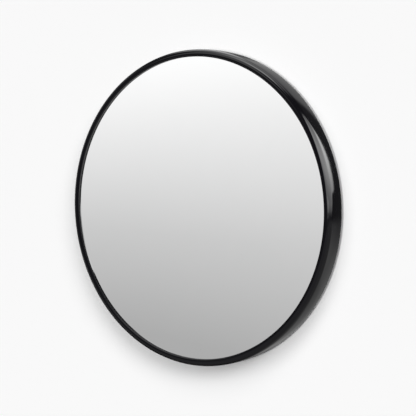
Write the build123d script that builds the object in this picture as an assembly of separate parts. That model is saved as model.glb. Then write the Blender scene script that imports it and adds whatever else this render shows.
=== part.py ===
from build123d import *
import math
import os

# Round magnifying mirror for a wall: a concave glass in a slim two-piece housing.
# Magnets in the housing hold it on a steel plate that a foam pad sticks to the wall,
# so the whole mirror pulls straight off the wall and snaps back on.
# Lengths are millimetres. The wall is the plane Y = 0, the mirror looks along -Y and +Z is up.
# A turned section is drawn as a radius from the mirror's axis and a depth,
# which is the distance out from the wall.

# Housing outline
rim_radius = 85.0
rim_wall = 2.5
widest_inset = 3.5
side_curve_radius = 70.0
shoulder_radius = 2.5
back_edge_radius = 3.0
wall_gap = 0.6

# Lip of the front rim, in front of the glass
lip_overlap = 1.2
lip_thickness = 1.25
bevel_width = 1.3
bevel_height = 0.75

# Concave glass
glass_thickness = 2.0
glass_curve_radius = 620.0
glass_seam = 0.3
glass_edge_clearance = 0.3
glass_seat_clearance = 0.05
glass_inner_clearance = 0.9

# Rear cover
cover_wall = 1.6
cover_floor = 1.0
cover_fit_clearance = 0.15
skirt_wall = 1.2
skirt_height = 4.4
recess_wall = 1.6
recess_clearance = 0.8
recess_lead_in = 0.4
support_rib_wall = 1.6
radial_rib_count = 24
radial_rib_wall = 1.0
radial_rib_clearance = 1.8

# Snap hooks of the rear cover and their groove in the front rim
hook_count = 8
hook_width = 10.0
hook_slot = 1.2
hook_reach = 0.65
hook_flat = 0.4
groove_depth = 0.8
groove_width = 1.6
groove_height = 3.4
groove_clearance = 0.1

# Foam behind the glass
foam_ring_inset = 5.2
foam_ring_width = 4.0
foam_ring_thickness = 1.5
foam_glass_clearance = 0.05
centre_pad_radius = 14.0

# Magnets, the steel ring that keeps them in, and the melted posts that hold the ring
magnet_count = 6
magnet_radius = 5.0
magnet_thickness = 2.0
magnet_chamfer = 0.2
magnet_pitch_radius = 38.0
magnet_pocket_clearance = 0.1
pocket_wall = 1.0
pocket_drop = 0.1
keeper_width = 12.0
keeper_thickness = 0.6
stake_radius = 1.1
stake_hole_clearance = 0.1
stake_head_radius = 2.0
stake_head_height = 0.5

# Grip ring on the back of the cover
grip_ring_radius = 66.0
grip_ring_width = 4.0
grip_groove_depth = 0.8
grip_side_clearance = 0.1
grip_edge_chamfer = 0.5

# Wall plate and its adhesive pad
plate_radius = 48.0
plate_thickness = 1.2
plate_edge_chamfer = 0.3
pad_inset = 1.0
pad_thickness = 0.8

# How far a cut runs past the wall that it goes through
cut_margin = 1.0

# Depths of the stack behind the glass, from the wall outwards
seat_depth = pad_thickness + plate_thickness
floor_middle = seat_depth + cover_floor / 2
floor_front = seat_depth + cover_floor
magnet_front = floor_front + magnet_thickness
keeper_front = magnet_front + keeper_thickness
stake_front = keeper_front + stake_head_height

# Radii that the rim sets, from the outside inwards
housing_bore = rim_radius - rim_wall
glass_radius = housing_bore - glass_edge_clearance
opening_radius = glass_radius - lip_overlap
cover_radius = housing_bore - cover_fit_clearance
skirt_inner = cover_radius - skirt_wall
foam_ring_outer = glass_radius - foam_ring_inset
foam_ring_inner = foam_ring_outer - foam_ring_width
foam_ring_middle = foam_ring_outer - foam_ring_width / 2
support_rib_outer = foam_ring_middle + support_rib_wall / 2
support_rib_inner = foam_ring_middle - support_rib_wall / 2

# The glass is a slice between two balls with one centre, far out in front of the mirror.
# It lies as near the wall as the melted heads of the posts let it.
back_curve_radius = glass_curve_radius + glass_thickness
stake_reach = magnet_pitch_radius + stake_head_radius
glass_over_stakes = stake_front + glass_inner_clearance
curve_centre_depth = glass_over_stakes + math.sqrt(back_curve_radius**2 - stake_reach**2)


def ball_depth(curve_radius, radius):
    """Depth of a ball-shaped face about the glass's centre of curvature, at a radius."""
    return curve_centre_depth - math.sqrt(curve_radius**2 - radius**2)


glass_edge_depth = ball_depth(glass_curve_radius, glass_radius)
lip_back = glass_edge_depth + glass_seat_clearance
overall_depth = lip_back + lip_thickness
widest_depth = overall_depth - widest_inset
cover_front = wall_gap + cover_wall
skirt_front = cover_front + skirt_height
groove_back = wall_gap + groove_height
groove_front = groove_back + groove_width
foam_ring_back = ball_depth(back_curve_radius, foam_ring_inner) - foam_ring_thickness


def at(radius, depth):
    """Point of a turned section."""
    return (radius, -depth)


def polygon(*points):
    """Straight-sided section through points given by at."""
    return make_face(Polyline(*points, close=True))


def block(inner_radius, outer_radius, back, front):
    """Rectangular section between two radii and two depths."""
    return polygon(
        at(inner_radius, back),
        at(outer_radius, back),
        at(outer_radius, front),
        at(inner_radius, front),
    )


def ball_arc(curve_radius, inner_radius, outer_radius):
    """Arc of a ball-shaped face between two radii."""
    middle_radius = (inner_radius + outer_radius) / 2
    return ThreePointArc(
        at(inner_radius, ball_depth(curve_radius, inner_radius)),
        at(middle_radius, ball_depth(curve_radius, middle_radius)),
        at(outer_radius, ball_depth(curve_radius, outer_radius)),
    )


def turned(section, sweep=360):
    """Solid turned from a section about the mirror's axis."""
    return revolve(section, Axis.Y, sweep)


def around(solid, count, first_angle=0.0):
    """Copies of a solid, evenly spaced about the mirror's axis."""
    step = 360.0 / count
    return [Rot(0, first_angle + step * place, 0) * solid for place in range(count)]


def nearest_corner(section, point):
    """Corner of a section that lies nearest a point."""
    return section.vertices().sort_by_distance(point)[0]


def side_radius(depth):
    """Radius of the barrel-shaped side at a depth."""
    across = math.sqrt(side_curve_radius**2 - (depth - widest_depth) ** 2)
    return rim_radius - side_curve_radius + across


def housing_outline():
    """Section of the closed housing, which the front rim and the rear cover share."""
    front_corner = at(side_radius(overall_depth), overall_depth)
    back_corner = at(side_radius(wall_gap), wall_gap)
    side = ThreePointArc(back_corner, at(rim_radius, widest_depth), front_corner)
    ends = Polyline(front_corner, at(0, overall_depth), at(0, wall_gap), back_corner)
    outline = make_face(side + ends)
    outline = fillet(nearest_corner(outline, front_corner), shoulder_radius)
    return fillet(nearest_corner(outline, back_corner), back_edge_radius)


def front_rim():
    """Rim with a rounded lip over the glass, a bore behind it and a groove for the hooks."""
    crest = at(opening_radius + bevel_width, overall_depth)
    lip_edge = at(opening_radius, overall_depth - bevel_height)
    bevel = TangentArc(crest, lip_edge, tangent=(-1, 0))
    sides = Polyline(
        lip_edge,
        at(opening_radius, lip_back),
        at(0, lip_back),
        at(0, overall_depth),
        crest,
    )
    opening = make_face(bevel + sides)
    bore = block(0, housing_bore, wall_gap, lip_back)
    groove = block(0, housing_bore + groove_depth, groove_back, groove_front)
    return turned(housing_outline() - opening - bore - groove)


def magnifying_glass():
    """Dished glass of even thickness with a ground edge."""
    inset = glass_radius - glass_seam
    front = ball_arc(glass_curve_radius, 0, inset)
    back = ball_arc(back_curve_radius, 0, inset)
    edge = Polyline(
        at(inset, ball_depth(glass_curve_radius, inset)),
        at(glass_radius, ball_depth(glass_curve_radius, glass_radius) - glass_seam),
        at(glass_radius, ball_depth(back_curve_radius, glass_radius) + glass_seam),
        at(inset, ball_depth(back_curve_radius, inset)),
    )
    axis = Line(
        at(0, ball_depth(back_curve_radius, 0)),
        at(0, ball_depth(glass_curve_radius, 0)),
    )
    return turned(make_face(front + edge + back + axis))


def under_glass(inner_radius, outer_radius, back, clearance):
    """Ring that stands on a flat, with a top that slopes with the back of the glass."""
    top_radius = back_curve_radius + clearance
    section = polygon(
        at(inner_radius, back),
        at(outer_radius, back),
        at(outer_radius, ball_depth(top_radius, outer_radius)),
        at(inner_radius, ball_depth(top_radius, inner_radius)),
    )
    return turned(section)


def centre_foam_pad():
    """Flat foam disc on the cover's floor that meets the middle of the glass."""
    front = ball_depth(back_curve_radius, 0) - foam_glass_clearance
    return turned(block(0, centre_pad_radius, floor_front, front))


def cover_shell():
    """Turned part of the rear cover: back wall, plate recess, skirt, support rib and grip groove."""
    recess_radius = plate_radius + recess_clearance
    recess_outer = recess_radius + recess_wall
    back_wall = block(recess_radius, cover_radius, wall_gap, cover_front)
    floor = block(0, recess_outer, seat_depth, floor_front)
    step = block(recess_radius, recess_outer, wall_gap, floor_front)
    skirt = block(skirt_inner, cover_radius, wall_gap, skirt_front)
    support_rib = block(support_rib_inner, support_rib_outer, wall_gap, foam_ring_back)
    lead_in = polygon(
        at(recess_radius, wall_gap),
        at(recess_radius + recess_lead_in, wall_gap),
        at(recess_radius, wall_gap + recess_lead_in),
    )
    half_groove = grip_ring_width / 2
    grip_groove = block(
        grip_ring_radius - half_groove,
        grip_ring_radius + half_groove,
        wall_gap,
        wall_gap + grip_groove_depth,
    )
    walls = back_wall + floor + step + skirt + support_rib
    return turned((walls & housing_outline()) - lead_in - grip_groove)


def radial_ribs():
    """Ribs from the plate recess to the support rib, with tops that slope with the glass."""
    inner_radius = plate_radius + recess_clearance + recess_wall / 2
    outer_radius = foam_ring_middle
    field = under_glass(inner_radius, outer_radius, wall_gap + cover_wall / 2, radial_rib_clearance)
    middle = Pos((inner_radius + outer_radius) / 2, -overall_depth / 2, 0)
    web = middle * Box(outer_radius - inner_radius, overall_depth, radial_rib_wall)
    return [field & rib for rib in around(web, radial_rib_count)]


def hook_slots():
    """Pair of slots that frees a hook from the skirt on both sides."""
    height = skirt_height + cut_margin
    side_step = (hook_width + hook_slot) / 2
    cut = Box(skirt_wall + 2 * cut_margin, height, hook_slot)
    middle = at(cover_radius - skirt_wall / 2, cover_front + height / 2)
    return [Pos(*middle, side) * cut for side in (-side_step, side_step)]


def hook_nose():
    """Catch on the outside of a hook: flat towards the wall and sloped towards the glass."""
    nose_back = groove_back + groove_clearance
    nose_front = groove_front - groove_clearance
    catch = polygon(
        at(skirt_inner, nose_back),
        at(cover_radius + hook_reach, nose_back),
        at(cover_radius + hook_reach, nose_back + hook_flat),
        at(cover_radius, nose_front),
        at(skirt_inner, nose_front),
    )
    sweep = math.degrees(hook_width / cover_radius)
    return Rot(0, -sweep / 2, 0) * turned(catch, sweep)


def magnet_pocket():
    """Collar on the cover's floor that a magnet drops into."""
    inner_radius = magnet_radius + magnet_pocket_clearance
    front = magnet_front - pocket_drop
    outer_radius = inner_radius + pocket_wall
    ring = turned(block(inner_radius, outer_radius, floor_middle, front))
    return Pos(magnet_pitch_radius, 0, 0) * ring


def stake():
    """Post with a melted, domed head that holds the keeper ring down."""
    post = block(0, stake_radius, floor_middle, keeper_front)
    dome = TangentArc(at(0, stake_front), at(stake_head_radius, keeper_front), tangent=(1, 0))
    under = Polyline(at(stake_head_radius, keeper_front), at(0, keeper_front), at(0, stake_front))
    head = make_face(dome + under)
    return Pos(magnet_pitch_radius, 0, 0) * turned(post + head)


def rear_cover():
    """Moulded rear cover with its hooks, ribs, magnet pockets and posts."""
    half_step = 180.0 / magnet_count
    cover = cover_shell()
    for slot in hook_slots():
        cover -= around(slot, hook_count)
    cover += around(hook_nose(), hook_count)
    cover += radial_ribs()
    cover += around(magnet_pocket(), magnet_count)
    cover += around(stake(), magnet_count, half_step)
    return cover


def magnets():
    """Disc magnets in their pockets."""
    disc = block(0, magnet_radius, floor_front, magnet_front)
    for depth in (floor_front, magnet_front):
        disc = chamfer(nearest_corner(disc, at(magnet_radius, depth)), magnet_chamfer)
    return around(Pos(magnet_pitch_radius, 0, 0) * turned(disc), magnet_count)


def magnet_keeper():
    """Flat steel ring behind the magnets, with a hole for each post."""
    half_width = keeper_width / 2
    inner_radius = magnet_pitch_radius - half_width
    outer_radius = magnet_pitch_radius + half_width
    ring = turned(block(inner_radius, outer_radius, magnet_front, keeper_front))
    hole = turned(block(0, stake_radius + stake_hole_clearance, magnet_front, keeper_front))
    half_step = 180.0 / magnet_count
    return ring - around(Pos(magnet_pitch_radius, 0, 0) * hole, magnet_count, half_step)


def grip_ring():
    """Soft ring in the cover's groove that touches the wall and stops the mirror slipping."""
    half_width = grip_ring_width / 2 - grip_side_clearance
    inner_radius = grip_ring_radius - half_width
    outer_radius = grip_ring_radius + half_width
    section = block(inner_radius, outer_radius, 0, wall_gap + grip_groove_depth)
    for radius in (inner_radius, outer_radius):
        section = chamfer(nearest_corner(section, at(radius, 0)), grip_edge_chamfer)
    return turned(section)


def wall_plate():
    """Steel disc that the magnets hold on to."""
    section = block(0, plate_radius, pad_thickness, seat_depth)
    front_corner = nearest_corner(section, at(plate_radius, seat_depth))
    return turned(chamfer(front_corner, plate_edge_chamfer))


def adhesive_pad():
    """Double-sided foam disc between the wall and the plate."""
    return turned(block(0, plate_radius - pad_inset, 0, pad_thickness))


pieces = {
    "front_rim": front_rim(),
    "magnifying_glass": magnifying_glass(),
    "glass_foam_ring": under_glass(
        foam_ring_inner, foam_ring_outer, foam_ring_back, foam_glass_clearance
    ),
    "centre_foam_pad": centre_foam_pad(),
    "rear_cover": rear_cover(),
    "magnet_keeper": magnet_keeper(),
    "grip_ring": grip_ring(),
    "wall_plate": wall_plate(),
    "adhesive_pad": adhesive_pad(),
}
for number, magnet in enumerate(magnets(), start=1):
    pieces[f"magnet_{number}"] = magnet

os.makedirs("parts", exist_ok=True)
for name, piece in pieces.items():
    export_step(piece, f"parts/{name}.step")
print(f"overall depth {overall_depth:.2f} mm, glass opening radius {opening_radius:.2f} mm")
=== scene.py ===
import math

import bmesh
import bpy
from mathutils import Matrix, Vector


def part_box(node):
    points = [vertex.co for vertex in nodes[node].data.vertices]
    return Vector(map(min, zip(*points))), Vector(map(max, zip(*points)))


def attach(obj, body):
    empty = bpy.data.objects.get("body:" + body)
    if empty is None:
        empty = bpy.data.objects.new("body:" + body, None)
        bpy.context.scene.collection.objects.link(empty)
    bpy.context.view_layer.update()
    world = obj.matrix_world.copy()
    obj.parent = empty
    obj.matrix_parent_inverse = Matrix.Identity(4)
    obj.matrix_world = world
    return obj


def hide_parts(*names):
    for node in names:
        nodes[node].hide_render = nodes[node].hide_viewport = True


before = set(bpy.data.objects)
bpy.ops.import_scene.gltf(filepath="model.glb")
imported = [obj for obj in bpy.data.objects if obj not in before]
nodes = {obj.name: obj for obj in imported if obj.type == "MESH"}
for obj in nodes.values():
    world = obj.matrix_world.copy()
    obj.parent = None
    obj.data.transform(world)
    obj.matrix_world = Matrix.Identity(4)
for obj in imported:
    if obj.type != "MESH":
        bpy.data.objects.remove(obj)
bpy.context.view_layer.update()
scene = bpy.context.scene
mm = 0.001

# Front rim
# The slim black ring round the glass, moulded in gloss plastic in one piece with the lip that
# holds the glass from the front. Its side is barrel-shaped and its bore takes the rear cover.
rim_low, rim_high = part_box("front_rim")
glass_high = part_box("magnifying_glass")[1]
cover_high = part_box("rear_cover")[1]
rim_radius = rim_high.x
rim_front = -rim_low.y
housing_back = -cover_high.y
glass_radius = glass_high.x
rim_wall = 2.5 * mm
widest_inset = 3.5 * mm
side_curve = 70 * mm
shoulder_curve = 2.5 * mm
back_edge_curve = 3 * mm
lip_overlap = 1.2 * mm
lip_thickness = 1.25 * mm
bevel_width = 1.3 * mm
bevel_height = 0.2 * mm
groove_depth = 0.8 * mm
groove_width = 1.6 * mm
groove_height = 3.4 * mm
rim_steps = 512
bevel_steps = 12
back_edge_steps = 16
side_steps = 24
shoulder_steps = 20
merge_within = 0.0001 * mm
corner_sharp_from = math.radians(32)


def add_node(tree, kind, inputs=None, **settings):
    """Adds a node to a tree; each input is a value or the output of another node."""
    made = tree.nodes.new(kind)
    for setting, value in settings.items():
        setattr(made, setting, value)
    for key, value in (inputs or {}).items():
        if isinstance(value, bpy.types.NodeSocket):
            tree.links.new(value, made.inputs[key])
        else:
            made.inputs[key].default_value = value
    return made


def maths(tree, operation, first, second=0.0, third=0.0):
    """Output of a Math node."""
    return add_node(tree, "ShaderNodeMath", {0: first, 1: second, 2: third}, operation=operation).outputs[0]


def turned_tree():
    """Geometry Nodes tree that turns a section about the mirror's axis.
    Each point of the section is a radius from the axis and a depth out from the wall."""
    tree = bpy.data.node_groups.new("turned_section", "GeometryNodeTree")
    tree.interface.new_socket("Section", in_out="INPUT", socket_type="NodeSocketGeometry")
    steps = tree.interface.new_socket("Steps around", in_out="INPUT", socket_type="NodeSocketInt")
    finish = tree.interface.new_socket("Finish", in_out="INPUT", socket_type="NodeSocketMaterial")
    tree.interface.new_socket("Piece", in_out="OUTPUT", socket_type="NodeSocketGeometry")
    given = add_node(tree, "NodeGroupInput").outputs
    count = add_node(tree, "GeometryNodeAttributeDomainSize", {"Geometry": given["Section"]})
    columns = maths(tree, "ADD", given["Steps around"], 1.0)
    grid = add_node(
        tree,
        "GeometryNodeMeshGrid",
        {"Vertices X": count.outputs["Point Count"], "Vertices Y": columns},
    )
    index = add_node(tree, "GeometryNodeInputIndex").outputs[0]
    row = maths(tree, "FLOOR", maths(tree, "DIVIDE", index, columns))
    column = maths(tree, "FLOORED_MODULO", index, columns)
    turn = maths(tree, "MULTIPLY", maths(tree, "DIVIDE", column, given["Steps around"]), math.tau)
    place = add_node(tree, "GeometryNodeInputPosition").outputs[0]
    sample = add_node(
        tree,
        "GeometryNodeSampleIndex",
        {"Geometry": given["Section"], "Value": place, "Index": row},
        data_type="FLOAT_VECTOR",
        domain="POINT",
    )
    point = add_node(tree, "ShaderNodeSeparateXYZ", {0: sample.outputs[0]}).outputs
    across = maths(tree, "MULTIPLY", point["X"], maths(tree, "SINE", turn))
    up = maths(tree, "MULTIPLY", point["X"], maths(tree, "COSINE", turn))
    out = maths(tree, "MULTIPLY", point["Y"], -1.0)
    turned = add_node(tree, "ShaderNodeCombineXYZ", {"X": across, "Y": out, "Z": up})
    moved = add_node(
        tree, "GeometryNodeSetPosition", {"Geometry": grid.outputs["Mesh"], "Position": turned.outputs[0]}
    )
    closed = add_node(
        tree, "GeometryNodeMergeByDistance", {"Geometry": moved.outputs[0], "Distance": merge_within}
    )
    real = add_node(tree, "GeometryNodeRealizeInstances", {"Geometry": closed.outputs[0]})
    dressed = add_node(
        tree, "GeometryNodeSetMaterial", {"Geometry": real.outputs[0], "Material": given["Finish"]}
    )
    add_node(tree, "NodeGroupOutput", {"Piece": dressed.outputs[0]})
    return tree, steps.identifier, finish.identifier


turning, steps_input, finish_input = turned_tree()


def turned_piece(name, section, steps, finish):
    """Mesh object turned from a section, with its normals outwards and its corners kept crisp."""
    mesh = bpy.data.meshes.new(name)
    mesh.from_pydata([(radius, depth, 0) for radius, depth in section], [], [])
    piece = bpy.data.objects.new(name, mesh)
    scene.collection.objects.link(piece)
    modifier = piece.modifiers.new("Turned", "NODES")
    modifier.node_group = turning
    modifier[steps_input] = steps
    modifier[finish_input] = finish
    evaluated = piece.evaluated_get(bpy.context.evaluated_depsgraph_get())
    piece.data = bpy.data.meshes.new_from_object(evaluated)
    piece.modifiers.clear()
    bpy.data.meshes.remove(mesh)
    piece.data.name = name
    piece.data.materials.clear()
    piece.data.materials.append(finish)
    shape = bmesh.new()
    shape.from_mesh(piece.data)
    bmesh.ops.recalc_face_normals(shape, faces=shape.faces)
    for face in shape.faces:
        face.material_index = 0
    shape.to_mesh(piece.data)
    shape.free()
    piece.data.shade_smooth()
    piece.data.set_sharp_from_angle(angle=corner_sharp_from)
    return piece


def arc(centre, radius, start, end, steps):
    """Points of a round stretch of a section, from one angle to another, in radians."""
    angles = [start + (end - start) * step / steps for step in range(steps + 1)]
    return [(centre[0] + radius * math.cos(a), centre[1] + radius * math.sin(a)) for a in angles]


def rolling_centre(curve, depth):
    """Centre of a smaller curve that touches the barrel-shaped side from inside, at a depth."""
    reach = math.sqrt((side_curve - curve) ** 2 - (depth - side_centre[1]) ** 2)
    return (side_centre[0] + reach, depth)


def direction(start, end):
    """Angle of the line from one point of a section to another."""
    return math.atan2(end[1] - start[1], end[0] - start[0])


bore_radius = rim_radius - rim_wall
opening_radius = glass_radius - lip_overlap
lip_back = rim_front - lip_thickness
side_centre = (rim_radius - side_curve, rim_front - widest_inset)
shoulder_centre = rolling_centre(shoulder_curve, rim_front - shoulder_curve)
back_edge_centre = rolling_centre(back_edge_curve, housing_back + back_edge_curve)
shoulder_end = direction(side_centre, shoulder_centre)
back_edge_start = direction(side_centre, back_edge_centre)
back_edge_end = -math.acos((bore_radius - back_edge_centre[0]) / back_edge_curve)
back_edge_depth = back_edge_centre[1] + back_edge_curve * math.sin(back_edge_end)
bevel_curve = (bevel_width**2 + bevel_height**2) / (2 * bevel_height)
crest_radius = opening_radius + bevel_width
bevel_centre = (crest_radius, rim_front - bevel_curve)
bevel_end = math.pi / 2 + math.asin(bevel_width / bevel_curve)
groove_back = housing_back + groove_height
groove_front = groove_back + groove_width
rim_section = [
    *arc(bevel_centre, bevel_curve, math.pi / 2, bevel_end, bevel_steps),
    (opening_radius, lip_back),
    (bore_radius, lip_back),
    (bore_radius, groove_front),
    (bore_radius + groove_depth, groove_front),
    (bore_radius + groove_depth, groove_back),
    (bore_radius, groove_back),
    (bore_radius, back_edge_depth),
    *arc(back_edge_centre, back_edge_curve, back_edge_end, back_edge_start, back_edge_steps)[1:],
    *arc(side_centre, side_curve, back_edge_start, shoulder_end, side_steps)[1:],
    *arc(shoulder_centre, shoulder_curve, shoulder_end, math.pi / 2, shoulder_steps)[1:],
]
rim_section.append(rim_section[0])


def new_finish(name, colour, roughness, metallic=0.0):
    """Material with its even values set; returns the material, its tree and its shader."""
    material = bpy.data.materials.new(name)
    material.use_nodes = True
    shader = material.node_tree.nodes["Principled BSDF"]
    shader.inputs["Base Color"].default_value = (*colour, 1)
    shader.inputs["Roughness"].default_value = roughness
    shader.inputs["Metallic"].default_value = metallic
    return material, material.node_tree, shader


def on_piece(tree, stretch=(1, 1, 1)):
    """Coordinates fixed to the piece, in metres, closer together where stretched."""
    place = add_node(tree, "ShaderNodeTexCoord").outputs["Object"]
    return add_node(tree, "ShaderNodeMapping", {"Vector": place, "Scale": stretch}).outputs[0]


def speckle(tree, size, detail, stretch=(1, 1, 1), warp=0.0):
    """Cloudy pattern with spots of about one size, in metres."""
    inputs = {"Vector": on_piece(tree, stretch), "Scale": 1 / size, "Detail": detail, "Distortion": warp}
    return add_node(tree, "ShaderNodeTexNoise", inputs).outputs[0]


def spread(tree, value, low, high, start=0.3, end=0.7):
    """Stretches a pattern so that it runs from one value to another."""
    inputs = {"Value": value, "From Min": start, "From Max": end, "To Min": low, "To Max": high}
    return add_node(tree, "ShaderNodeMapRange", inputs).outputs[0]


def blend_colours(tree, share, first, second):
    """Mixes two colours by a pattern; each is three numbers or the output of another node."""
    inputs = {0: share}
    for socket, colour in ((6, first), (7, second)):
        inputs[socket] = colour if isinstance(colour, bpy.types.NodeSocket) else (*colour, 1)
    return add_node(tree, "ShaderNodeMix", inputs, data_type="RGBA").outputs[2]


def relief(tree, height, depth):
    """Shading of fine relief, from a pattern and its depth in metres."""
    return add_node(tree, "ShaderNodeBump", {"Height": height, "Distance": depth}).outputs[0]


def gloss_black():
    """Polished black moulded plastic: faint orange peel, smudges, hair scratches and dust."""
    material, tree, shader = new_finish("gloss_black_plastic", (0.0037, 0.0035, 0.0050), roughness=0.06)
    peel = speckle(tree, size=2.4 * mm, detail=1.5)
    grain = speckle(tree, size=0.35 * mm, detail=2)
    height = maths(tree, "MULTIPLY_ADD", grain, 0.06, peel)
    smudge = speckle(tree, size=14 * mm, detail=4, warp=0.6)
    scratch = speckle(tree, size=0.25 * mm, detail=3, stretch=(0.05, 1, 0.05))
    dust = speckle(tree, size=0.5 * mm, detail=1)
    smooth = spread(tree, smudge, 0.045, 0.10)
    scuffed = maths(tree, "ADD", smooth, spread(tree, scratch, 0.0, 0.09, 0.66, 0.76))
    colour = blend_colours(
        tree, spread(tree, dust, 0, 1, 0.80, 0.84), (0.0035, 0.0033, 0.0048), (0.09, 0.09, 0.085)
    )
    tree.links.new(scuffed, shader.inputs["Roughness"])
    tree.links.new(colour, shader.inputs["Base Color"])
    tree.links.new(relief(tree, height, depth=0.006 * mm), shader.inputs["Normal"])
    return material


rim_finish = gloss_black()
front_rim = turned_piece("gloss_front_rim", rim_section, rim_steps, rim_finish)
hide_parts("front_rim")
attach(front_rim, "mirror_head")

# Magnifying glass
# A dished glass 2 mm thick with silver and grey paint on its back, ground round its edge.
# It lies loose behind the lip and the foam ring presses it forward.
glass_thickness = 2 * mm
glass_curve = 620 * mm
glass_seam = 0.3 * mm
glass_back_middle = -glass_high.y
glass_centre_depth = glass_curve + glass_thickness + glass_back_middle
glass_rings = 36
glass_steps = 384
silver_faces_front = -0.8


def dish(curve, start, end, steps):
    """Points of the glass's face with a radius of curvature, from one radius to another."""
    radii = [start + (end - start) * step / steps for step in range(steps + 1)]
    return [(radius, glass_centre_depth - math.sqrt(curve**2 - radius**2)) for radius in radii]


back_curve = glass_curve + glass_thickness
glass_face = dish(glass_curve, 0, glass_radius - glass_seam, glass_rings)
glass_back = dish(back_curve, glass_radius - glass_seam, 0, glass_rings)
edge_front = dish(glass_curve, glass_radius, glass_radius, 1)[0][1] - glass_seam
edge_back = dish(back_curve, glass_radius, glass_radius, 1)[0][1] + glass_seam
glass_section = [*glass_face, (glass_radius, edge_front), (glass_radius, edge_back), *glass_back]


def silvered():
    """Silver seen through clear glass: perfectly sharp, with hardly visible wiping marks and dust."""
    material, tree, shader = new_finish("silvered_glass", (0.93, 0.93, 0.93), roughness=0.0, metallic=1.0)
    wiping = speckle(tree, size=30 * mm, detail=4, warp=1.2)
    dust = speckle(tree, size=0.6 * mm, detail=1)
    wiped = blend_colours(tree, spread(tree, wiping, 0, 1), (0.925, 0.928, 0.928), (0.935, 0.936, 0.936))
    colour = blend_colours(tree, spread(tree, dust, 0, 1, 0.80, 0.83), wiped, (0.80, 0.80, 0.79))
    tree.links.new(colour, shader.inputs["Base Color"])
    return material


def back_paint():
    """Grey paint that protects the silver, and the ground edge of the glass."""
    material, tree, shader = new_finish("mirror_back_paint", (0.2, 0.21, 0.21), roughness=0.5)
    brushed = speckle(tree, size=1.5 * mm, detail=4, stretch=(0.2, 1, 1))
    tree.links.new(
        blend_colours(tree, brushed, (0.17, 0.18, 0.18), (0.24, 0.25, 0.25)), shader.inputs["Base Color"]
    )
    tree.links.new(relief(tree, brushed, depth=0.02 * mm), shader.inputs["Normal"])
    return material


glass = turned_piece("silvered_glass", glass_section, glass_steps, silvered())
glass.data.materials.append(back_paint())
for face in glass.data.polygons:
    face.material_index = 0 if face.normal.y < silver_faces_front else 1
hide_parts("magnifying_glass")
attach(glass, "mirror_head")

# Foam behind the glass
# A strip of grey foam on the cover's support rib presses the glass to the lip, and a disc of
# the same foam stops the middle from drumming. Both are cut from sheet and stuck to the cover.
ring_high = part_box("glass_foam_ring")[1]
disc_low, disc_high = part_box("centre_foam_pad")
foam_ring_width = 4 * mm
foam_glass_gap = 0.05 * mm
foam_bulge = 0.12 * mm
foam_steps = 256
foam_edge_steps = 8


def foam_edge(radius, back, front, outwards):
    """Points of a cut foam edge: full at the middle of its height, drawn in a little at both faces."""
    heights = [step / foam_edge_steps for step in range(foam_edge_steps + 1)]
    reach = -foam_bulge if outwards else foam_bulge
    return [
        (radius + reach * (1 - math.sin(math.pi * share)), back + (front - back) * share)
        for share in heights
    ]


def grey_foam():
    """Closed-cell foam: dull, with fine pores."""
    material, tree, shader = new_finish("grey_foam", (0.09, 0.09, 0.095), roughness=0.95)
    pores = add_node(
        tree, "ShaderNodeTexVoronoi", {"Vector": on_piece(tree), "Scale": 1 / (0.35 * mm)}
    ).outputs["Distance"]
    tone = speckle(tree, size=3 * mm, detail=3)
    cells = maths(tree, "MULTIPLY", tone, pores)
    shade = blend_colours(tree, cells, (0.06, 0.06, 0.065), (0.15, 0.15, 0.155))
    tree.links.new(shade, shader.inputs["Base Color"])
    tree.links.new(relief(tree, pores, depth=0.12 * mm), shader.inputs["Normal"])
    shader.inputs["Sheen Weight"].default_value = 0.2
    return material


foam_finish = grey_foam()
foam_outer = ring_high.x
foam_inner = foam_outer - foam_ring_width
foam_back = -ring_high.y
inner_front = dish(back_curve + foam_glass_gap, foam_inner, foam_inner, 1)[0][1]
outer_front = dish(back_curve + foam_glass_gap, foam_outer, foam_outer, 1)[0][1]
ring_section = [
    *foam_edge(foam_inner, inner_front, foam_back, False),
    *foam_edge(foam_outer, foam_back, outer_front, True),
]
ring_section.append(ring_section[0])
foam_ring = turned_piece("foam_strip_round_glass", ring_section, foam_steps, foam_finish)
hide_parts("glass_foam_ring")
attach(foam_ring, "mirror_head")

disc_radius = disc_high.x
disc_back = -disc_high.y
disc_front = -disc_low.y
disc_section = [(0, disc_back), *foam_edge(disc_radius, disc_back, disc_front, True), (0, disc_front)]
foam_disc = turned_piece("foam_disc_behind_glass", disc_section, foam_steps, foam_finish)
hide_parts("centre_foam_pad")
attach(foam_disc, "mirror_head")

# Rear cover
# The black back of the housing, moulded with a fine spark-eroded surface. It snaps into the rim
# and carries the magnets, the grip ring's groove and the recess for the wall plate.


def dress(names, finish):
    """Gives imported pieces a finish."""
    for name in names:
        for place in nodes[name].material_slots:
            place.material = finish


def satin_black():
    """Black plastic from a spark-eroded mould, rubbed a little smoother where it is handled."""
    material, tree, shader = new_finish("satin_black_plastic", (0.018, 0.018, 0.019), roughness=0.45)
    sparks = speckle(tree, size=0.22 * mm, detail=3)
    flow = speckle(tree, size=25 * mm, detail=3, warp=1.0)
    tree.links.new(
        blend_colours(tree, flow, (0.014, 0.014, 0.015), (0.022, 0.022, 0.023)), shader.inputs["Base Color"]
    )
    tree.links.new(spread(tree, flow, 0.38, 0.52), shader.inputs["Roughness"])
    tree.links.new(relief(tree, sparks, depth=0.02 * mm), shader.inputs["Normal"])
    return material


dress(["rear_cover"], satin_black())

# Magnets and their keeper
# Six nickel-plated disc magnets lie in the cover's pockets. A flat ring of zinc-plated steel
# closes them in, held by the cover's posts, whose ends are melted over it.


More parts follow.
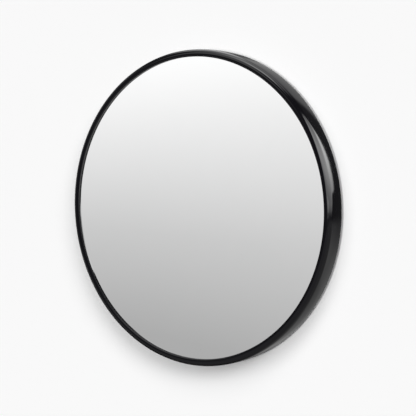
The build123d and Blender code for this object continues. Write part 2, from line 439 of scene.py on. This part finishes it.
def nickel_plate():
    """Bright nickel with a slightly grey, rubbed face."""
    material, tree, shader = new_finish("nickel_plate", (0.62, 0.6, 0.57), roughness=0.2, metallic=1.0)
    rubbed = speckle(tree, size=0.8 * mm, detail=4, stretch=(1, 1, 0.2))
    tree.links.new(spread(tree, rubbed, 0.14, 0.32), shader.inputs["Roughness"])
    tree.links.new(
        blend_colours(tree, rubbed, (0.66, 0.64, 0.61), (0.56, 0.54, 0.51)), shader.inputs["Base Color"]
    )
    return material


def zinc_plate():
    """Zinc-plated sheet steel with the rolling lines of the sheet and a soft cloudy tone."""
    material, tree, shader = new_finish("zinc_plated_steel", (0.56, 0.57, 0.58), roughness=0.34, metallic=1.0)
    lines = speckle(tree, size=0.3 * mm, detail=4, stretch=(0.02, 1, 1))
    clouds = speckle(tree, size=9 * mm, detail=4, warp=0.8)
    tree.links.new(
        blend_colours(tree, clouds, (0.50, 0.51, 0.53), (0.63, 0.64, 0.65)), shader.inputs["Base Color"]
    )
    tree.links.new(
        maths(tree, "ADD", spread(tree, lines, 0.24, 0.40), spread(tree, clouds, 0, 0.08)),
        shader.inputs["Roughness"],
    )
    tree.links.new(relief(tree, lines, depth=0.008 * mm), shader.inputs["Normal"])
    return material


zinc_finish = zinc_plate()
dress([name for name in nodes if name.startswith("magnet_") and name != "magnet_keeper"], nickel_plate())
dress(["magnet_keeper"], zinc_finish)

# Grip ring
# A soft moulded ring pressed into the cover's groove. Its three round ridges touch the wall and
# stop the mirror from slipping or turning.
grip_low, grip_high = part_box("grip_ring")
grip_outer = grip_high.x
grip_front = -grip_low.y
grip_back = -grip_high.y
grip_width = 3.8 * mm
ridge_count = 3
ridge_radius = 0.42 * mm
ridge_steps = 10
grip_steps = 384


def soft_black():
    """Soft black moulding compound: dull, with a little dust in its pores."""
    material, tree, shader = new_finish("soft_black_compound", (0.03, 0.03, 0.031), roughness=0.72)
    pores = speckle(tree, size=0.3 * mm, detail=3)
    dust = speckle(tree, size=5 * mm, detail=4, warp=0.5)
    tree.links.new(
        blend_colours(tree, spread(tree, dust, 0, 1), (0.024, 0.024, 0.025), (0.042, 0.042, 0.042)),
        shader.inputs["Base Color"],
    )
    tree.links.new(spread(tree, pores, 0.62, 0.82), shader.inputs["Roughness"])
    tree.links.new(relief(tree, pores, depth=0.03 * mm), shader.inputs["Normal"])
    shader.inputs["Sheen Weight"].default_value = 0.1
    return material


grip_inner = grip_outer - grip_width
ridge_pitch = grip_width / ridge_count
grip_section = [(grip_inner, grip_front), (grip_inner, grip_back + ridge_radius)]
for ridge in range(ridge_count):
    ridge_centre = (grip_inner + ridge_pitch * (ridge + 0.5), grip_back + ridge_radius)
    grip_section += arc(ridge_centre, ridge_radius, math.pi, math.tau, ridge_steps)
grip_section += [(grip_outer, grip_back + ridge_radius), (grip_outer, grip_front), (grip_inner, grip_front)]
grip_ring = turned_piece("ridged_grip_ring", grip_section, grip_steps, soft_black())
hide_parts("grip_ring")
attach(grip_ring, "mirror_head")

# Wall plate and its pad
# A zinc-plated steel disc that the magnets hold on to, and the double-sided foam disc that
# sticks it to the wall.
pad_low, pad_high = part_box("adhesive_pad")
pad_steps = 256


def pale_foam():
    """Off-white mounting foam under a thin film of adhesive."""
    material, tree, shader = new_finish("mounting_foam", (0.72, 0.72, 0.70), roughness=0.6)
    cells = add_node(
        tree, "ShaderNodeTexVoronoi", {"Vector": on_piece(tree), "Scale": 1 / (0.5 * mm)}
    ).outputs["Distance"]
    wet_out = speckle(tree, size=12 * mm, detail=4, warp=1.0)
    tree.links.new(
        blend_colours(tree, spread(tree, wet_out, 0, 1), (0.705, 0.705, 0.685), (0.735, 0.735, 0.718)),
        shader.inputs["Base Color"],
    )
    tree.links.new(spread(tree, wet_out, 0.45, 0.8), shader.inputs["Roughness"])
    tree.links.new(relief(tree, cells, depth=0.06 * mm), shader.inputs["Normal"])
    return material


dress(["wall_plate"], zinc_finish)
pad_back = -pad_high.y
pad_front = -pad_low.y
pad_section = [(0, pad_back), *foam_edge(pad_high.x, pad_back, pad_front, True), (0, pad_front)]
wall_pad = turned_piece("mounting_foam_disc", pad_section, pad_steps, pale_foam())
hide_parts("adhesive_pad")
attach(wall_pad, "wall_base")

# Wall and floor
# A white studio wall that curves into a pale floor. It keeps the mirror's shadow, shows only
# from its front, and lets the lamps behind it light the mirror's back.
wall_gap = 0.2 * mm
wall_half_width = 3.0
wall_top = 2.4
floor_level = -1.3
floor_reach = 3.0
cove_radius = 0.4
cove_steps = 16
wall_tone = 0.94


def studio_white():
    """Matt white that is clear when seen from behind."""
    material, tree, shader = new_finish("studio_white", (wall_tone, wall_tone, wall_tone), roughness=1.0)
    shader.inputs["Specular IOR Level"].default_value = 0.0
    behind = add_node(tree, "ShaderNodeNewGeometry").outputs["Backfacing"]
    clear = add_node(tree, "ShaderNodeBsdfTransparent").outputs[0]
    mix = add_node(tree, "ShaderNodeMixShader", {0: behind, 1: shader.outputs[0], 2: clear})
    tree.links.new(mix.outputs[0], tree.nodes["Material Output"].inputs["Surface"])
    return material


cove_angles = [math.pi / 2 * step / cove_steps for step in range(cove_steps + 1)]
cove = [
    (wall_gap - cove_radius * (1 - math.cos(a)), floor_level + cove_radius * (1 - math.sin(a)))
    for a in cove_angles
]
backdrop_line = [(wall_gap, wall_top), *cove, (-floor_reach, floor_level)]
corners = [(side * wall_half_width, out, height) for out, height in backdrop_line for side in (-1, 1)]
strips = [(2 * n, 2 * n + 1, 2 * n + 3, 2 * n + 2) for n in range(len(backdrop_line) - 1)]
backdrop_mesh = bpy.data.meshes.new("studio_backdrop")
backdrop_mesh.from_pydata(corners, [], strips)
backdrop_mesh.materials.append(studio_white())
backdrop_mesh.shade_smooth()
if backdrop_mesh.polygons[0].normal.y > 0:
    backdrop_mesh.flip_normals()
backdrop = bpy.data.objects.new("studio_backdrop", backdrop_mesh)
scene.collection.objects.link(backdrop)
backdrop.visible_glossy = False
backdrop.visible_diffuse = False
backdrop.visible_shadow = False

# Studio light
# Soft lamps light the wall and the mirror evenly. The gloss black reflects a studio of soft boxes,
# and the silvered glass, which alone is perfectly sharp, one even sweep. Places are azimuths and
# elevations seen from the mirror, in degrees: azimuth 0 is straight out from the wall, +90 to the right.
background_white = 0.94
panel_strength = 2.2
panel_middle = 82.0
vault_fall = 0.0045


def toward(azimuth, elevation):
    """Direction in the room, from an azimuth and an elevation in degrees."""
    a, e = math.radians(azimuth), math.radians(elevation)
    return Vector((math.sin(a) * math.cos(e), -math.cos(a) * math.cos(e), math.sin(e)))


def soft_lamp(name, azimuth, elevation, share, width):
    """Distant lamp as wide as an angle in degrees, which shows in no reflection.
    Its share of 1 is all the light that a white surface square to the wall's axis can take."""
    lamp = bpy.data.lights.new(name, "SUN")
    lamp.energy = share * math.pi / abs(toward(azimuth, elevation).y)
    lamp.angle = math.radians(width)
    holder = bpy.data.objects.new(name, lamp)
    holder.rotation_euler = toward(azimuth, elevation).to_track_quat("Z", "Y").to_euler()
    holder.visible_glossy = False
    scene.collection.objects.link(holder)


soft_lamp("front_fill", azimuth=11, elevation=0, share=0.393, width=10)
soft_lamp("top_lamp", azimuth=-7, elevation=20, share=0.234, width=43)
soft_lamp("right_lamp", azimuth=50, elevation=23, share=0.223, width=23)
soft_lamp("high_right_lamp", azimuth=23, elevation=44, share=0.150, width=30)
soft_lamp("rear_left_lamp", azimuth=-150, elevation=30, share=0.45, width=40)
soft_lamp("rear_right_lamp", azimuth=150, elevation=30, share=0.45, width=40)

world = bpy.data.worlds.new("studio")
world.use_nodes = True
scene.world = world
air = world.node_tree
air.nodes.clear()
sight = add_node(air, "ShaderNodeTexCoord").outputs["Generated"]
sight_x, sight_y, sight_z = add_node(air, "ShaderNodeSeparateXYZ", {0: sight}).outputs
sight_out = maths(air, "MULTIPLY", sight_y, -1.0)
azimuth_seen = maths(air, "DEGREES", maths(air, "ARCTAN2", sight_x, sight_out))
behind_seen = maths(air, "DEGREES", maths(air, "ARCTAN2", sight_x, sight_y))
elevation_seen = maths(air, "DEGREES", maths(air, "ARCSINE", sight_z))


def fade(value, start, end, before, after):
    """Smooth change from one strength to another as an angle goes from start to end."""
    inputs = {"Value": value, "From Min": start, "From Max": end, "To Min": before, "To Max": after}
    return add_node(air, "ShaderNodeMapRange", inputs, interpolation_type="SMOOTHSTEP").outputs[0]


def slanted(lean, start, end, before, after):
    """Edge that crosses the azimuths as it rises, by a lean in degrees for each degree up."""
    crossing = maths(air, "MULTIPLY_ADD", elevation_seen, -lean, azimuth_seen)
    return fade(crossing, start, end, before, after)


def ramp(start, end, before, after):
    """Even change from one strength to another as the elevation goes from start to end."""
    inputs = {
        "Value": elevation_seen,
        "From Min": start,
        "From Max": end,
        "To Min": before,
        "To Max": after,
    }
    return add_node(air, "ShaderNodeMapRange", inputs).outputs[0]


def times(*factors):
    """Product of several strengths."""
    product = factors[0]
    for factor in factors[1:]:
        product = maths(air, "MULTIPLY", product, factor)
    return product


def total(*lights):
    """Sum of several strengths."""
    result = lights[0]
    for light in lights[1:]:
        result = maths(air, "ADD", result, light)
    return result


def window(value, low, high, blur):
    """1 between two angles and 0 outside them, with blurred edges."""
    opens = fade(value, low - blur / 2, low + blur / 2, before=0.0, after=1.0)
    closes = fade(value, high - blur / 2, high + blur / 2, before=1.0, after=0.0)
    return times(opens, closes)


def soft_box(strength, azimuths, elevations, blur, rise, angle=None):
    """Bright field between two azimuths and two elevations, with its edges blurred across and up.
    Its azimuths count from straight out from the wall, or from straight behind with behind_seen."""
    across = window(azimuth_seen if angle is None else angle, *azimuths, blur)
    up = window(elevation_seen, *elevations, rise)
    return times(across, up, strength)


from_middle = maths(air, "SUBTRACT", azimuth_seen, panel_middle)
vaulted = maths(air, "MULTIPLY_ADD", times(from_middle, from_middle), vault_fall, elevation_seen)
panel_inner_edge = slanted(lean=0.857, start=-5.6, end=-1.6, before=0.0, after=1.0)
panel_outer_edge = slanted(lean=0.4, start=147.0, end=150.0, before=1.0, after=0.0)
panel_cut_corner = slanted(lean=4.0, start=125.0, end=132.0, before=1.0, after=0.0)
panel_foot = fade(elevation_seen, start=-6.0, end=2.0, before=0.0, after=1.0)
panel_vault = fade(vaulted, start=52.0, end=56.0, before=1.0, after=0.0)
panel_bright_middle = times(
    fade(elevation_seen, start=2, end=22, before=0.0, after=2.6),
    fade(elevation_seen, start=26, end=56, before=1.0, after=0.0),
)
right_panel = times(
    panel_inner_edge,
    panel_outer_edge,
    panel_cut_corner,
    panel_foot,
    panel_vault,
    maths(air, "ADD", panel_bright_middle, panel_strength),
)
low_front_strip = soft_box(1.2, azimuths=(6, 42), elevations=(-3, 2), blur=6, rise=2)
high_front_panel = soft_box(2.9, azimuths=(-44, 12), elevations=(46, 72), blur=8, rise=8)
high_front_core = soft_box(1.6, azimuths=(-24, 10), elevations=(52, 64), blur=8, rise=6)
high_far_left_panel = soft_box(2.1, azimuths=(-150, -88), elevations=(44, 70), blur=16, rise=14)
far_left_column = soft_box(1.4, azimuths=(-150, -124), elevations=(30, 60), blur=12, rise=14)
high_left_panel = soft_box(1.3, azimuths=(-90, -44), elevations=(46, 66), blur=10, rise=12)
top_left_panel = soft_box(0.7, azimuths=(-120, 10), elevations=(64, 80), blur=20, rise=8)
far_left_strip = soft_box(0.7, azimuths=(-146, -130), elevations=(2, 40), blur=8, rise=20)
front_left_strip = soft_box(0.9, azimuths=(-43, -19), elevations=(8, 46), blur=6, rise=8)
left_room_wall = soft_box(0.25, azimuths=(-132, -60), elevations=(-20, 30), blur=14, rise=8)
rear_panel = soft_box(0.42, azimuths=(-29, 3), elevations=(2, 40), blur=6, rise=14, angle=behind_seen)
high_rear_panel = soft_box(0.7, azimuths=(-40, 18), elevations=(44, 80), blur=12, rise=8, angle=behind_seen)
low_rear_panel = soft_box(0.1, azimuths=(-26, 32), elevations=(-28, -6), blur=12, rise=4, angle=behind_seen)
rear_floor = soft_box(0.3, azimuths=(-30, 50), elevations=(-90, -14), blur=20, rise=16, angle=behind_seen)
right_floor = soft_box(0.28, azimuths=(40, 150), elevations=(-90, -7), blur=20, rise=3)
left_floor = soft_box(0.2, azimuths=(-70, 40), elevations=(-90, -7), blur=16, rise=3)
ceiling = fade(elevation_seen, start=64, end=74, before=0.07, after=1.4)
studio = total(
    right_panel,
    low_front_strip,
    high_front_panel,
    high_front_core,
    high_far_left_panel,
    far_left_column,
    high_left_panel,
    top_left_panel,
    far_left_strip,
    front_left_strip,
    left_room_wall,
    rear_panel,
    high_rear_panel,
    low_rear_panel,
    rear_floor,
    right_floor,
    left_floor,
    ceiling,
)

lower_sweep = ramp(start=-10.4, end=-1.8, before=1.075, after=0.635)
middle_sweep = ramp(start=-1.8, end=3.4, before=0.0, after=-0.19)
upper_sweep = ramp(start=3.4, end=20.0, before=0.0, after=-0.17)
floor_sweep = ramp(start=-70.0, end=-10.4, before=-0.3, after=0.0)
glow = total(lower_sweep, middle_sweep, upper_sweep, floor_sweep)

seen = add_node(air, "ShaderNodeLightPath").outputs
plain = maths(air, "MULTIPLY", seen["Is Camera Ray"], background_white)
gloss = add_node(
    air, "ShaderNodeMix", {0: seen["Is Singular Ray"], 2: studio, 3: glow}, data_type="FLOAT"
).outputs[0]
strength = add_node(
    air, "ShaderNodeMix", {0: seen["Is Glossy Ray"], 2: plain, 3: gloss}, data_type="FLOAT"
).outputs[0]
light = add_node(air, "ShaderNodeBackground", {"Color": (1, 1, 1, 1), "Strength": strength}).outputs[0]
add_node(air, "ShaderNodeOutputWorld", {"Surface": light})

# Camera
# It stands to the right of the mirror and a little above it, as the photograph's does. Its long
# lens keeps the perspective weak, and the shift places the mirror in the frame.
camera_azimuth = 35.81
camera_elevation = 3.22
camera_distance = 0.95
camera_aim = Vector((0, -0.0065, 0))
camera_lens = 152.6
framing_right = 0.0107
framing_down = -0.0007
sensor_width = 36
nearest_seen = 0.01
farthest_seen = 50

camera_data = bpy.data.cameras.new("camera")
camera_data.lens = camera_lens
camera_data.sensor_width = sensor_width
camera_data.shift_x = framing_right
camera_data.shift_y = framing_down
camera_data.clip_start = nearest_seen
camera_data.clip_end = farthest_seen
camera = bpy.data.objects.new("camera", camera_data)
camera_back = toward(camera_azimuth, camera_elevation)
camera.location = camera_aim + camera_back * camera_distance
camera.rotation_euler = camera_back.to_track_quat("Z", "Y").to_euler()
scene.collection.objects.link(camera)
scene.camera = camera
scene.view_settings.view_transform = "Standard"
